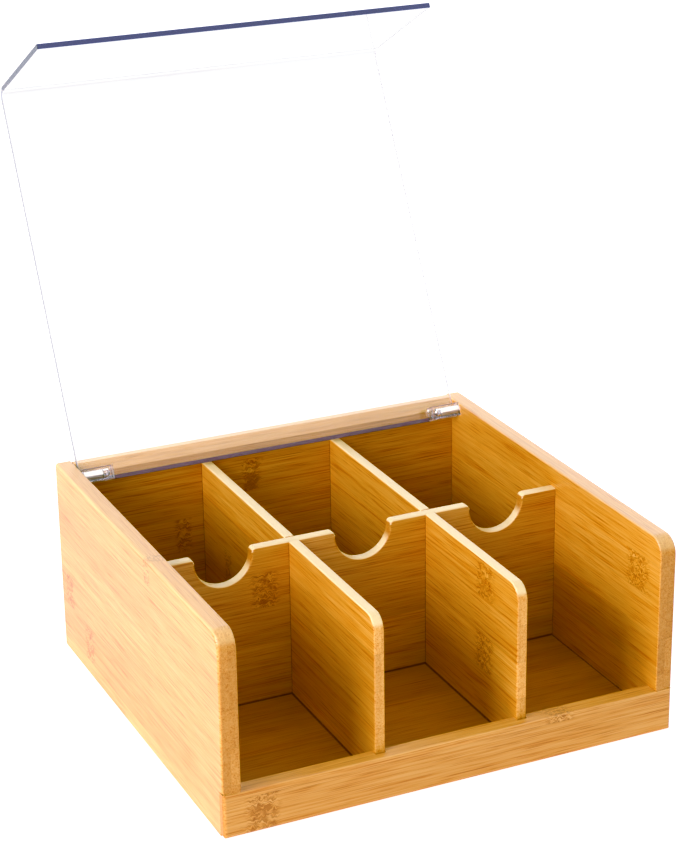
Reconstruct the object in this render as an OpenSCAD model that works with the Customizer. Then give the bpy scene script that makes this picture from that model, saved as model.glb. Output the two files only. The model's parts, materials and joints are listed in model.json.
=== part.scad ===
// Tea bag organizer box: a bamboo tray with six compartments, and a clear lid that is bent down
// over the open front and swings on two short pins at the rear.
// Origin: middle of the front rail's underside. +Z is up and the open front faces -Y.

/* [Box] */
// Width over the side panels
box_w = 260; // [220:1:320]
// Depth from the front face to the rear face
box_d = 246.5; // [210:0.5:300]
// Height of the side panels and the back panel
box_h = 113; // [108:1:140]
// Thickness of each side panel
side_t = 10; // [9:0.5:12]
// Thickness of the back panel
back_t = 9; // [8:0.5:12]
// Radius of the front top corner of each side panel
side_corner_r = 10; // [4:1:20]
// Radius of the box's outer edges
edge_r = 2; // [1:0.5:3]

/* [Front rail] */
// Height of the rail across the open front
rail_h = 25; // [20:1:35]
// Thickness of the rail
rail_t = 9; // [8:0.5:12]
// Thickness of the rail's front layer, which laps over the ends of the side panels
rail_lap = 4.5; // [3.5:0.5:6]
// Depth of the notches in the rail's top that the long dividers stand in
rail_notch = 1.5; // [1:0.5:3]
// Radius of the rail's top front edge
rail_edge_r = 1; // [0.5:0.5:2]

/* [Base panel] */
// Height of the base panel's top face above the underside
floor_z = 10; // [8:0.5:14]
// Thickness of the base panel
floor_t = 5; // [4:0.5:6]
// How far the base panel reaches into its grooves
floor_tongue = 3; // [2:0.5:4]

/* [Dividers] */
// Thickness of the dividers
divider_t = 6; // [4:0.5:8]
// Height of the dividers' top edge above the underside
divider_top = 101.5; // [80:0.5:102]
// Set-back of the long dividers' front ends, which leaves room for the lid's flap
divider_setback = 5.5; // [5:0.5:7]
// Radius of the long dividers' front top corner
divider_corner_r = 9; // [3:1:20]
// Distance from the front face to the cross divider's front face
cross_y = 111; // [90:1:130]
// Radius of the finger notches in the cross divider
notch_r = 16.5; // [10:0.5:20]
// Depth of the finger notches
notch_depth = 18.8; // [12:0.2:22]
// Radius of the notches' rounded lips
notch_lip_r = 2.5; // [1:0.5:5]

/* [Lid] */
// Thickness of the clear sheet
lid_t = 3; // [2:0.5:4]
// Gap between the lid and each side panel
lid_gap = 0.6; // [0.5:0.1:2]
// Set-back of the flap's outer face from the box's front face, with the sheet level
flap_inset = 0.2; // [0.2:0.1:1.2]
// Gap between flap and rail with the sheet level. To close, the flap comes down onto the rail.
flap_gap = 3.2; // [2.8:0.1:4]
// Inner radius of the bend
bend_r = 3.5; // [2:0.5:6]
// Bevel on the lid's rear edge, which clears the back panel as the lid swings
lid_bevel = 2.5; // [2.5:0.1:2.8]
// How far the open lid leans back from the vertical, in degrees
open_lean = 28; // [15:1:35]

/* [Hinge] */
// Distance from the hinge axis to the back panel's inner face
pivot_back = 7.5; // [7.5:0.1:10]
// Distance from the hinge axis down from the top of the side panels
pivot_drop = 4.3; // [4:0.1:8]
// Side of each hinge block's square section
block_s = 8; // [8:0.5:9]
// Length of each hinge block
block_l = 18; // [17:1:30]
// Diameter of the hinge pins
pin_d = 5; // [3:0.5:5]
// Length of each pin inside its block
pin_in_block = 12; // [8:1:14]
// Depth of the hole in each block
block_bore = 15; // [14:0.5:15]
// Length of each pin inside its side panel
pin_in_side = 6; // [4:0.5:7]
// Running clearance between pin and side panel, on the radius
pin_clear = 0.05; // [0.02:0.01:0.1]

/* [Hidden] */
$fn = 96;
eps = 0.01;

front = -rail_t / 2;                    // the box's front face
rear = front + box_d;                   // its rear face
inner_w = box_w - 2 * side_t;           // width between the side panels
back_face = rear - back_t;              // inner face of the back panel
rail_back = front + rail_t;             // inner face of the rail

bay_w = (inner_w - 2 * divider_t) / 3;  // width of one compartment
divider_x = (bay_w + divider_t) / 2;    // centre of a long divider
divider_front = front + divider_setback;
cross_front = front + cross_y;
lap_z = (floor_z + divider_top) / 2;    // where the crossing dividers are halved together
joint_play = 0.05;                      // so that halved joints slide together
notch_lead = 0.8;                       // how far a rail notch starts ahead of its divider

groove_depth = floor_tongue + 0.3;      // the base panel's grooves are a little deeper
floor_front = rail_back - floor_tongue;
floor_rear = back_face + floor_tongue;

pivot_y = back_face - pivot_back;
pivot_z = box_h - pivot_drop;
open_angle = 90 + open_lean;            // from level to open
lid_w = inner_w - 2 * lid_gap;
under = block_s / 2;                    // lid's underside above the hinge axis, when level
rear_reach = block_s / 2;               // lid's rear edge behind the hinge axis, when level
flap_outer = front + flap_inset - pivot_y;
flap_end = rail_h + flap_gap - pivot_z;
rest_gap = 0.3;                         // between the open lid and the bevel that it leans on
drill_cone = pin_d / 2 / tan(59);       // depth of the drill's point

bamboo = [0.90, 0.68, 0.40];
bamboo_light = [0.95, 0.80, 0.56];
bamboo_dark = [0.76, 0.53, 0.26];
clear = [0.80, 0.86, 0.95, 0.35];
steel = [0.75, 0.75, 0.76];

// Makes an outline in the YZ plane, given as [y, z], a plate from x0 to x1.
module plate_yz(x0, x1) {
    translate([x0, 0, 0]) rotate([90, 0, 90]) linear_extrude(x1 - x0) children();
}

// Makes an outline in the XZ plane, given as [x, z], a plate from y0 to y1.
module plate_xz(y0, y1) {
    translate([0, y1, 0]) rotate([90, 0, 0]) linear_extrude(y1 - y0) children();
}

// What rounding takes off a corner of an outline. The corner is at the origin and the outline
// lies towards the given direction, such as [1, -1].
module corner_waste(r, toward) {
    scale(toward) difference() {
        translate([-eps, -eps]) square(r + eps);
        translate([r, r]) circle(r);
    }
}

// A box's outer shell as a solid: every outer edge rounded, from x0 to x1.
module rounded_span(x0, x1) {
    intersection() {
        linear_extrude(box_h) translate([x0, front]) square([x1 - x0, box_d]);
        plate_xz(front, rear) difference() {
            translate([-box_w / 2, 0]) square([box_w, box_h]);
            for (i = [-1, 1]) translate([i * box_w / 2, 0]) corner_waste(edge_r, [-i, 1]);
            for (i = [-1, 1]) translate([i * box_w / 2, box_h]) corner_waste(edge_r, [-i, -1]);
        }
        linear_extrude(box_h) difference() {
            translate([-box_w / 2, front]) square([box_w, box_d]);
            for (i = [-1, 1]) translate([i * box_w / 2, front]) corner_waste(edge_r, [-i, 1]);
            for (i = [-1, 1]) translate([i * box_w / 2, rear]) corner_waste(edge_r, [-i, -1]);
        }
        plate_yz(-box_w / 2, box_w / 2) difference() {
            translate([front, 0]) square([box_d, box_h]);
            translate([front, 0]) corner_waste(edge_r, [1, 1]);
            translate([rear, 0]) corner_waste(edge_r, [-1, 1]);
            translate([rear, box_h]) corner_waste(edge_r, [-1, -1]);
            translate([front, box_h]) corner_waste(side_corner_r, [1, -1]);
        }
    }
}

// Right side panel: notched over the rail's front layer, grooved for the base panel, and with a
// blind hole for the hinge pin.
module side_panel() {
    difference() {
        rounded_span(inner_w / 2, box_w / 2);
        translate([inner_w / 2 - 1, front - 1, -1]) cube([side_t + 2, rail_lap + 1, rail_h + 1]);
        translate([inner_w / 2 - 1, floor_front - 0.3, floor_z - floor_t])
            cube([groove_depth + 1, floor_rear - floor_front + 0.6, floor_t]);
        translate([inner_w / 2 - 1, pivot_y, pivot_z]) rotate([0, 90, 0])
            cylinder(r = pin_d / 2 + pin_clear, h = pin_in_side + 1.5);
    }
}

module right_side_panel() {
    color(bamboo) side_panel();
}

module left_side_panel() {
    color(bamboo_light) mirror([1, 0, 0]) side_panel();
}

// The back panel fits between the sides. Its top front edge is bevelled to the open lid's slope.
module back_panel() {
    slope_d = under + lid_t + rest_gap; // from the hinge axis to the bevel
    color(bamboo) difference() {
        intersection() {
            rounded_span(-inner_w / 2, inner_w / 2);
            translate([-inner_w / 2, back_face, -1]) cube([inner_w, back_t + 1, box_h + 2]);
        }
        translate([-inner_w / 2 - 1, back_face - 1, floor_z - floor_t])
            cube([inner_w + 2, groove_depth + 1, floor_t]);
        translate([0, pivot_y, pivot_z]) rotate([-open_lean, 0, 0])
            translate([-inner_w / 2 - 1, slope_d - 40, -20]) cube([inner_w + 2, 40, 60]);
    }
}

// The rail's front layer runs over the ends of the side panels, its rear layer between them.
module front_rail() {
    color(bamboo) difference() {
        intersection() {
            rounded_span(-box_w / 2, box_w / 2);
            union() {
                plate_yz(-box_w / 2, box_w / 2) difference() {
                    translate([front, 0]) square([rail_lap, rail_h]);
                    translate([front, rail_h]) corner_waste(rail_edge_r, [1, -1]);
                }
                translate([-inner_w / 2, front + rail_lap, 0])
                    cube([inner_w, rail_t - rail_lap, rail_h]);
            }
        }
        translate([-inner_w / 2 - 1, floor_front - 0.3, floor_z - floor_t])
            cube([inner_w + 2, groove_depth + 1, floor_t]);
        for (x = [-divider_x, divider_x])
            translate([x - divider_t / 2, divider_front - notch_lead, rail_h - rail_notch])
                cube([divider_t, rail_t, rail_notch + 1]);
    }
}

module base_panel() {
    color(bamboo_dark) translate([-inner_w / 2 - floor_tongue, floor_front, floor_z - floor_t])
        cube([inner_w + 2 * floor_tongue, floor_rear - floor_front, floor_t]);
}

// Outline of a long divider: it stands on the base panel, steps up over the rail, and is slotted
// from the top where the cross divider passes.
module divider_outline() {
    step_z = rail_h - rail_notch;
    difference() {
        translate([divider_front, floor_z])
            square([back_face - divider_front, divider_top - floor_z]);
        translate([divider_front - 1, floor_z - 1])
            square([rail_back - divider_front + 1, step_z - floor_z + 1]);
        translate([divider_front, divider_top]) corner_waste(divider_corner_r, [1, -1]);
        translate([cross_front - joint_play, lap_z])
            square([divider_t + 2 * joint_play, divider_top - lap_z + 1]);
    }
}

module long_divider(x) {
    plate_yz(x - divider_t / 2, x + divider_t / 2) divider_outline();
}

module left_divider() {
    color(bamboo) long_divider(-divider_x);
}

module right_divider() {
    color(bamboo) long_divider(divider_x);
}

// A finger notch in the XZ plane: a round bottom, and lips that round over to the top edge.
module notch_outline() {
    centre_z = divider_top - notch_depth + notch_r;
    lip_z = divider_top - notch_lip_r;
    lip_x = sqrt(pow(notch_r + notch_lip_r, 2) - pow(lip_z - centre_z, 2));
    translate([0, centre_z]) circle(notch_r);
    difference() {
        translate([-lip_x, lip_z]) square([2 * lip_x, notch_lip_r + 1]);
        for (i = [-1, 1]) translate([i * lip_x, lip_z]) circle(notch_lip_r);
    }
}

// The cross divider runs between the side panels and is slotted from below over the long ones.
module cross_divider() {
    color(bamboo_dark) difference() {
        translate([-inner_w / 2, cross_front, floor_z])
            cube([inner_w, divider_t, divider_top - floor_z]);
        plate_xz(cross_front - 1, cross_front + divider_t + 1)
            for (i = [-1, 0, 1]) translate([i * (bay_w + divider_t), 0]) notch_outline();
        for (x = [-divider_x, divider_x])
            translate([x - divider_t / 2 - joint_play, cross_front - 1, floor_z - 1])
                cube([divider_t + 2 * joint_play, divider_t + 2, lap_z - floor_z + 1]);
    }
}

// Puts a piece that is drawn level, with the hinge axis at the origin, in the open pose.
module hung_open() {
    translate([0, pivot_y, pivot_z]) rotate([-open_angle, 0, 0]) children();
}

// Section of the level lid, as [y, z] from the hinge axis: flat sheet, bend and flap.
module lid_section() {
    top = under + lid_t;
    outer_r = bend_r + lid_t;
    bend_y = flap_outer + outer_r;
    bend_z = top - outer_r;
    difference() {
        union() {
            translate([bend_y, under]) square([rear_reach - bend_y, lid_t]);
            translate([flap_outer, flap_end]) square([lid_t, bend_z - flap_end]);
            intersection() {
                translate([bend_y, bend_z]) difference() {
                    circle(outer_r);
                    circle(bend_r);
                }
                translate([flap_outer, bend_z]) square(outer_r);
            }
        }
        translate([rear_reach, top]) rotate(45) square(lid_bevel * sqrt(2), center = true);
    }
}

module lid() {
    color(clear) hung_open() plate_yz(-lid_w / 2, lid_w / 2) lid_section();
}

// Right hinge block: a square bar bonded under the lid's rear corner, drilled from its outer end.
module hinge_block() {
    difference() {
        translate([lid_w / 2 - block_l, -block_s / 2, -block_s / 2])
            cube([block_l, block_s, block_s]);
        translate([lid_w / 2 - block_bore, 0, 0]) rotate([0, 90, 0]) {
            cylinder(d = pin_d, h = block_bore + 1);
            translate([0, 0, -drill_cone]) cylinder(d1 = 0, d2 = pin_d, h = drill_cone + eps);
        }
    }
}

module right_hinge_block() {
    color(clear) hung_open() hinge_block();
}

module left_hinge_block() {
    color(clear) hung_open() mirror([1, 0, 0]) hinge_block();
}

// Right hinge pin: fast in its block, and free to turn in the side panel.
module hinge_pin() {
    edge = 0.4; // chamfer at both ends
    pin_l = pin_in_block + lid_gap + pin_in_side;
    translate([lid_w / 2 - pin_in_block, 0, 0]) rotate([0, 90, 0]) rotate_extrude()
        polygon([[0, 0], [pin_d / 2 - edge, 0], [pin_d / 2, edge],
                 [pin_d / 2, pin_l - edge], [pin_d / 2 - edge, pin_l], [0, pin_l]]);
}

module right_hinge_pin() {
    color(steel) hung_open() hinge_pin();
}

module left_hinge_pin() {
    color(steel) hung_open() mirror([1, 0, 0]) hinge_pin();
}

left_side_panel();
right_side_panel();
back_panel();
front_rail();
base_panel();
left_divider();
right_divider();
cross_divider();
lid();
left_hinge_block();
right_hinge_block();
left_hinge_pin();
right_hinge_pin();
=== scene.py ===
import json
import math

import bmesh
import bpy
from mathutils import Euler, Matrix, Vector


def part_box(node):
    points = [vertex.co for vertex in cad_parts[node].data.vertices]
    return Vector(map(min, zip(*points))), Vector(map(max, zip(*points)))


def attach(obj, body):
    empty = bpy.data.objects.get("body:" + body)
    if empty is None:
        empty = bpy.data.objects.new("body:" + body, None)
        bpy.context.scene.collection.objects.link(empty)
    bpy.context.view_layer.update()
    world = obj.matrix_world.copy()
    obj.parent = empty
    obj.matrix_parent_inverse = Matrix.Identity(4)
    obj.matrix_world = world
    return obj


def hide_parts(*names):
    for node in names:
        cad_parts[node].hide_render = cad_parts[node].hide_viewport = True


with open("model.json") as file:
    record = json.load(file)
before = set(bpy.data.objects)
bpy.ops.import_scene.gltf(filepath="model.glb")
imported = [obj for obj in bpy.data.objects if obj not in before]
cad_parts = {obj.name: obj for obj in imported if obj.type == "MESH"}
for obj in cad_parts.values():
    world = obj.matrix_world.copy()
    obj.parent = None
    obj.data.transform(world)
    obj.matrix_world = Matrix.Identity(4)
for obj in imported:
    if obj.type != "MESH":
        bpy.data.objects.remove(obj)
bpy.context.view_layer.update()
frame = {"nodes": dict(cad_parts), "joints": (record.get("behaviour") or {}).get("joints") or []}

# %% [markdown]
# # A tea bag organizer box
#
# The box is a low tray of bamboo boards with six compartments. A clear sheet, bent over at the
# front, is its lid. It swings on two short steel pins, which sit in clear blocks under its rear
# corners.
#
# The boards and the hinge already exist as solids, in millimetre-true places, so nothing here is
# placed by eye. Each new piece takes its size from the solid that it stands for, and what the
# solids leave out is added: eased edges, the grain of laminated bamboo, and polished plastic.

MM = 0.001
hinge = Vector(next(j for j in frame["joints"] if j["name"] == "lid_hinge")["pos_m"])
print("hinge axis", [round(v, 4) for v in hinge])

# %% [markdown]
# ## The camera
#
# A product picture of a box shows its front, one side and its inside at once. The camera stands
# to the left and above, and a long lens keeps the boards' edges nearly parallel. Its place is
# written as a point, and its aim as three turns: round the box, above it, and a slight roll.

# %% Place the camera
IMAGE_H = 842  # pixels
SENSOR = 36.0
FOCAL_PX = 2354.1
AZIMUTH, ELEVATION, ROLL = (math.radians(a) for a in (-24.503, 21.097, -0.853))
CAMERA_PLACE = Vector((-0.49744, -0.95624, 0.61588))

back = Vector((math.sin(AZIMUTH) * math.cos(ELEVATION),
               -math.cos(AZIMUTH) * math.cos(ELEVATION), math.sin(ELEVATION)))
right = Vector((0, 0, 1)).cross(back).normalized()
up = back.cross(right)
rolled_right = math.cos(ROLL) * right + math.sin(ROLL) * up
rolled_up = math.cos(ROLL) * up - math.sin(ROLL) * right

camera_data = bpy.data.cameras.new("camera")
camera_data.sensor_width = SENSOR
camera_data.lens = FOCAL_PX / IMAGE_H * SENSOR
camera_data.clip_start, camera_data.clip_end = 0.05, 50
camera = bpy.data.objects.new("camera", camera_data)
aim = Matrix((rolled_right, rolled_up, back)).transposed().to_4x4()
camera.matrix_world = Matrix.Translation(CAMERA_PLACE) @ aim
bpy.context.scene.collection.objects.link(camera)
bpy.context.scene.camera = camera
print("lens", round(camera_data.lens, 2), "mm")

# %% [markdown]
# ## Helpers for materials
#
# A material is a small net of nodes. Written out one by one the nodes hide the idea, so one helper
# makes a node with its settings and links, and others do arithmetic on values or start a material
# or a group.

# %% Node helpers
def add(tree, kind, links=None, **settings):
    """Add a node. links gives a value or another node's output for each named input."""
    node = tree.nodes.new(kind)
    for name, value in settings.items():
        setattr(node, name, value)
    for key, value in (links or {}).items():
        if isinstance(value, bpy.types.NodeSocket):
            tree.links.new(value, node.inputs[key])
        else:
            node.inputs[key].default_value = value
    return node


def calc(tree, operation, *values):
    """One step of arithmetic on numbers or outputs."""
    return add(tree, "ShaderNodeMath", dict(enumerate(values)), operation=operation).outputs[0]


def fade(tree, value, low, high, start=0.0, end=1.0, kind="SMOOTHSTEP"):
    """Map value from low..high to start..end, with soft ends."""
    ranges = {"Value": value, "From Min": low, "From Max": high, "To Min": start, "To Max": end}
    return add(tree, "ShaderNodeMapRange", ranges, interpolation_type=kind).outputs[0]


def new_material(name):
    """A material with no nodes yet: returns it and its tree."""
    material = bpy.data.materials.new(name)
    material.use_nodes = True
    tree = material.node_tree
    tree.nodes.clear()
    return material, tree


def new_group(name, inputs, outputs):
    """A shader node group with named sockets: returns its tree, its inputs and its output node."""
    tree = bpy.data.node_groups.new(name, "ShaderNodeTree")
    for label, kind, value in inputs:
        socket = tree.interface.new_socket(label, in_out="INPUT", socket_type=kind)
        if value is not None:
            socket.default_value = value
    for label, kind in outputs:
        tree.interface.new_socket(label, in_out="OUTPUT", socket_type=kind)
    return tree, tree.nodes.new("NodeGroupInput").outputs, tree.nodes.new("NodeGroupOutput").inputs


FLOAT, VECTOR, COLOR = "NodeSocketFloat", "NodeSocketVector", "NodeSocketColor"
print("helpers ready")

# %% [markdown]
# ## Bamboo
#
# A bamboo cane is a tube, too thin to saw into boards. It is split into strips about 20 mm wide,
# planed flat and glued edge to edge. So a board shows three things:
#
# - strips, each a little lighter or darker than its neighbours, with fine glue lines between;
# - fibres, long dark hairs that run along the strip and show as dots where a board is sawn off;
# - knuckles, where the cane had a joint: a short patch right across one strip, in which the
#   fibres wriggle.
#
# The pattern is worked out in the board's own directions, along the grain, across the strips and
# through the thickness, so faces and sawn ends agree with each other. Knuckles come one to a strip
# every 20 to 30 cm, so each board lists its own.

# %% A mask for one knuckle
WAVER_SCALE, WAVER = 160.0, 0.8  # how finely and how far the patch's ends waver
END_FADE, SIDE_FADE = (1.15, 0.45), (1.03, 0.93)  # from plain wood to full, in half sizes

knuckle_group, given, made = new_group(
    "knuckle",
    [("Place", VECTOR, None), ("Along", FLOAT, 0.0), ("Across", FLOAT, 0.0),
     ("Half length", FLOAT, 8 * MM), ("Half width", FLOAT, 10.5 * MM), ("Before", FLOAT, 0.0)],
    [("Mask", FLOAT)])
at = add(knuckle_group, "ShaderNodeSeparateXYZ", {0: given["Place"]}).outputs
waver = add(knuckle_group, "ShaderNodeTexNoise",
            {"Vector": given["Place"], "Scale": WAVER_SCALE}).outputs[0]
away = calc(knuckle_group, "ABSOLUTE", calc(knuckle_group, "SUBTRACT", at[0], given["Along"]))
away = calc(knuckle_group, "DIVIDE", away, given["Half length"])
away = calc(knuckle_group, "ADD", away,
            calc(knuckle_group, "MULTIPLY_ADD", waver, WAVER, -WAVER / 2))
side = calc(knuckle_group, "ABSOLUTE", calc(knuckle_group, "SUBTRACT", at[1], given["Across"]))
side = calc(knuckle_group, "DIVIDE", side, given["Half width"])
mask = calc(knuckle_group, "MULTIPLY", fade(knuckle_group, away, *END_FADE),
            fade(knuckle_group, side, *SIDE_FADE))
knuckle_group.links.new(calc(knuckle_group, "MAXIMUM", mask, given["Before"]), made["Mask"])
print("group", knuckle_group.name)

# %% [markdown]
# Where two boards meet there is a hair's breadth of shadow and dust, which no render finds in
# boards that touch exactly. A small group paints that shade and dust as a dark line along one
# plane, between two heights.
# A board that others meet on one face only, such as the back panel, shows its lines on that face
# and not on the outer one.

# %% A mask for one joint line
LINE_FADE = (1.0, 0.25)  # from no line to full, in half widths

joint_shade_group, given, made = new_group(
    "joint_shade_line",
    [("Distance", FLOAT, 0.0), ("At", FLOAT, 0.0), ("Half width", FLOAT, 0.5 * MM),
     ("Height", FLOAT, 0.0), ("Top", FLOAT, 1.0), ("Before", FLOAT, 0.0)],
    [("Mask", FLOAT)])
off = calc(joint_shade_group, "ABSOLUTE", calc(joint_shade_group, "SUBTRACT", given["Distance"], given["At"]))
off = calc(joint_shade_group, "DIVIDE", off, given["Half width"])
below = calc(joint_shade_group, "LESS_THAN", given["Height"], given["Top"])
mask = calc(joint_shade_group, "MULTIPLY", fade(joint_shade_group, off, *LINE_FADE), below)
joint_shade_group.links.new(calc(joint_shade_group, "MAXIMUM", mask, given["Before"]), made["Mask"])
print("group", joint_shade_group.name)

# %% [markdown]
# The board's group starts with the strip that a point is in. Its number feeds a white noise, which
# gives the strip one steady random value, used for its tone and to slide its fibres along, so that
# they break off at the glue line. Fibres are noise that is stretched along the grain about
# fifty to one. In a knuckle, the across coordinate is pushed to and fro first, so that the same
# fibres wriggle.

# %% The strips of a board
STRIP = 21 * MM  # width of a strip
PLY = 5 * MM  # thickness of the layers that a board is glued from
STRIP_STEP, PLY_STEP = 3.17, 1.31  # keep neighbours' random numbers apart
GLUE_LINE = 0.6 * MM

bamboo, given, made = new_group(
    "bamboo_board",
    [("Place", VECTOR, None), ("Facing", VECTOR, None), ("Board", FLOAT, 0.0),
     ("Strip", FLOAT, STRIP), ("Seam", FLOAT, 0.0), ("Knuckles", FLOAT, 0.0),
     ("Joint shade", FLOAT, 0.0), ("Tone", FLOAT, 1.0), ("End tone", FLOAT, 1.0),
     ("Top light", FLOAT, 0.6)],
    [("Color", COLOR), ("Roughness", FLOAT), ("Height", FLOAT)])
along, across, through = add(bamboo, "ShaderNodeSeparateXYZ", {0: given["Place"]}).outputs
strip_at = calc(bamboo, "DIVIDE", calc(bamboo, "SUBTRACT", across, given["Seam"]), given["Strip"])
strip_number = calc(bamboo, "FLOOR", strip_at)
ply_number = calc(bamboo, "FLOOR", calc(bamboo, "DIVIDE", through, PLY))
strip_seed = calc(bamboo, "MULTIPLY_ADD", strip_number, STRIP_STEP, given["Board"])
strip_seed = calc(bamboo, "MULTIPLY_ADD", ply_number, PLY_STEP, strip_seed)
strip_random = add(bamboo, "ShaderNodeTexWhiteNoise", {"W": strip_seed},
                   noise_dimensions="1D").outputs["Value"]
from_seam = calc(bamboo, "PINGPONG", calc(bamboo, "SUBTRACT", strip_at, strip_number), 0.5)
from_seam = calc(bamboo, "MULTIPLY", from_seam, given["Strip"])
seam_line = fade(bamboo, from_seam, GLUE_LINE, 0.0)
print("strips and glue lines")

# %% The fibres, and how they wriggle in a knuckle
# Each noise has a scale along the grain, a scale across it, both per metre, and its detail.
WRIGGLES, BANDS, FIBRES = (500.0, 260.0, 1.0), (3.0, 240.0, 2.0), (13.0, 900.0, 3.0)
HAIRS, SPECKS, CLOUD = (42.0, 2300.0, 2.0), (260.0, 950.0, 1.0), (7.0, 20.0, 2.0)
SLIDE = 1.7  # metres that a strip's fibres may be slid along it
WRIGGLE = 6 * MM  # how far fibres are pushed sideways in a knuckle


def stretched_noise(x, y, z, along_scale, across_scale, detail):
    """Noise on a place that is scaled apart along and across the grain."""
    parts = [calc(bamboo, "MULTIPLY", x, along_scale), calc(bamboo, "MULTIPLY", y, across_scale),
             calc(bamboo, "MULTIPLY", z, across_scale)]
    place = add(bamboo, "ShaderNodeCombineXYZ", dict(enumerate(parts))).outputs[0]
    return add(bamboo, "ShaderNodeTexNoise",
               {"Vector": place, "Scale": 1.0, "Detail": detail}).outputs[0]


slid = calc(bamboo, "MULTIPLY_ADD", strip_random, SLIDE, along)
wriggle = stretched_noise(slid, across, through, *WRIGGLES)
wriggle = calc(bamboo, "MULTIPLY", calc(bamboo, "SUBTRACT", wriggle, 0.5), WRIGGLE)
bent = calc(bamboo, "MULTIPLY_ADD", wriggle, given["Knuckles"], across)

bands, fibres, hairs, specks = (
    stretched_noise(slid, bent, through, *noise) for noise in (BANDS, FIBRES, HAIRS, SPECKS))
cloud = stretched_noise(slid, across, through, *CLOUD)
print("fibres at four sizes, and a slow cloud")

# %% [markdown]
# The fibres' noises are added up and read off a colour ramp, from honey to pale straw.

# %% The colour of the fibres
PALE = (0.81, 0.42, 0.11, 1)
MIDDLE = (0.74, 0.32, 0.055, 1)
DEEP = (0.61, 0.180, 0.015, 1)
DEEP_AT, MIDDLE_AT, PALE_AT = 0.38, 0.47, 0.60
BANDS_PART, FIBRES_PART, HAIRS_PART = 0.16, 0.42, 0.42

mixed = calc(bamboo, "MULTIPLY_ADD", bands, BANDS_PART,
             calc(bamboo, "MULTIPLY", fibres, FIBRES_PART))
mixed = calc(bamboo, "MULTIPLY_ADD", hairs, HAIRS_PART, mixed)
ramp = add(bamboo, "ShaderNodeValToRGB", {0: mixed})
stops = ramp.color_ramp.elements
stops[0].position, stops[0].color = DEEP_AT, DEEP
stops[1].position, stops[1].color = PALE_AT, PALE
stops.new(MIDDLE_AT).color = MIDDLE
print("fibre colours at", [round(stop.position, 2) for stop in stops])

# %% [markdown]
# A board shows its fibres' ends where it is sawn off, and its long top edges get a painted
# highlight. Both can be told from the way that the surface faces in the board's own directions.

# %% Which way a face looks
END_FACING, TOP_LIGHT_FACING = (0.6, 0.95), (0.25, 0.6)  # from hardly to squarely that way

facing = add(bamboo, "ShaderNodeSeparateXYZ", {0: given["Facing"]}).outputs
sawn_end = fade(bamboo, calc(bamboo, "ABSOLUTE", facing[0]), *END_FACING)
# painted highlight: faces that look up or down across the strips are the lit top edges
painted_top_light = calc(bamboo, "MULTIPLY", given["Top light"],
                   fade(bamboo, calc(bamboo, "ABSOLUTE", facing[1]), *TOP_LIGHT_FACING))
print("masks for sawn ends and sanded edges")

# %% [markdown]
# What darkens the wood is kept as two numbers, which both are 1 on plain wood. The first one holds
# the broad tones: from board to board, from strip to strip, along a strip, and towards knuckles,
# glue lines and sawn ends.

# %% Broad tones
STRIP_TONES, CLOUD_TONES = (0.91, 1.06), (0.93, 1.05)
KNUCKLE_DARK, SEAM_DARK, PORE_DARK = 0.07, 0.10, 0.15
CLOUD_AT, PORES_AT = (0.3, 0.7), (0.54, 0.66)  # levels of the noises


def less(value, mask, share):
    """Take a share off the value where the mask is."""
    return calc(bamboo, "MULTIPLY", value, calc(bamboo, "MULTIPLY_ADD", mask, -share, 1.0))


shade = calc(bamboo, "MULTIPLY",
             fade(bamboo, strip_random, 0.0, 1.0, *STRIP_TONES, kind="LINEAR"),
             fade(bamboo, cloud, *CLOUD_AT, *CLOUD_TONES))
shade = less(shade, given["Knuckles"], KNUCKLE_DARK)
shade = less(shade, seam_line, SEAM_DARK)
shade = calc(bamboo, "MULTIPLY", shade, given["Tone"])
pores = calc(bamboo, "MULTIPLY", fade(bamboo, hairs, *PORES_AT), sawn_end)
shade = less(shade, pores, PORE_DARK)
end_tone = calc(bamboo, "MULTIPLY_ADD", sawn_end,
                calc(bamboo, "SUBTRACT", given["End tone"], 1.0), 1.0)
shade = calc(bamboo, "MULTIPLY", shade, end_tone)
print("tones from", STRIP_TONES[0], "to", STRIP_TONES[1])

# %% [markdown]
# The second one holds the sharp marks: dark hairs, the specks in a knuckle, and the lines of
# painted shade and dust where boards meet.

# %% Sharp marks
HAIR_DARK, KNOT_DARK, JOINT_SHADE_AND_DUST = 0.32, 0.42, 0.78
DARK_HAIRS_AT, SPECKS_AT = (0.43, 0.29), (0.62, 0.38)
BETWEEN_SPECKS, IN_SPECKS = -0.35, 1.0  # wood between a knuckle's specks is paler

dark_hairs = calc(bamboo, "MULTIPLY", fade(bamboo, hairs, *DARK_HAIRS_AT), HAIR_DARK)
knot_marks = calc(bamboo, "MULTIPLY",
                  fade(bamboo, specks, *SPECKS_AT, BETWEEN_SPECKS, IN_SPECKS), given["Knuckles"])
marks = less(calc(bamboo, "MULTIPLY_ADD", knot_marks, -KNOT_DARK, 1.0), given["Joint shade"],
             JOINT_SHADE_AND_DUST)
marks = calc(bamboo, "MULTIPLY", marks, calc(bamboo, "SUBTRACT", 1.0, dark_hairs))
print("hairs, knuckles' specks and joint lines")

# %% [markdown]
# Wood that is darker is also redder, because the blue goes first and the red last. So each of the
# two numbers is raised to a small power for the red and a large one for the blue.

# %% Stain the fibres
STAIN_POWERS = ((0.8, 0.65), (1.2, 1.2), (1.8, 2.0))  # red, green, blue: of tones, of marks

stain_parts = [calc(bamboo, "MULTIPLY", calc(bamboo, "POWER", shade, of_tones),
                    calc(bamboo, "POWER", marks, of_marks))
               for of_tones, of_marks in STAIN_POWERS]
stain = add(bamboo, "ShaderNodeCombineColor", dict(enumerate(stain_parts))).outputs[0]
tinted = add(bamboo, "ShaderNodeMix", {0: 1.0, 6: ramp.outputs[0], 7: stain},
             data_type="RGBA", blend_type="MULTIPLY").outputs[2]
print(len(stain_parts), "channels of stain")
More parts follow.
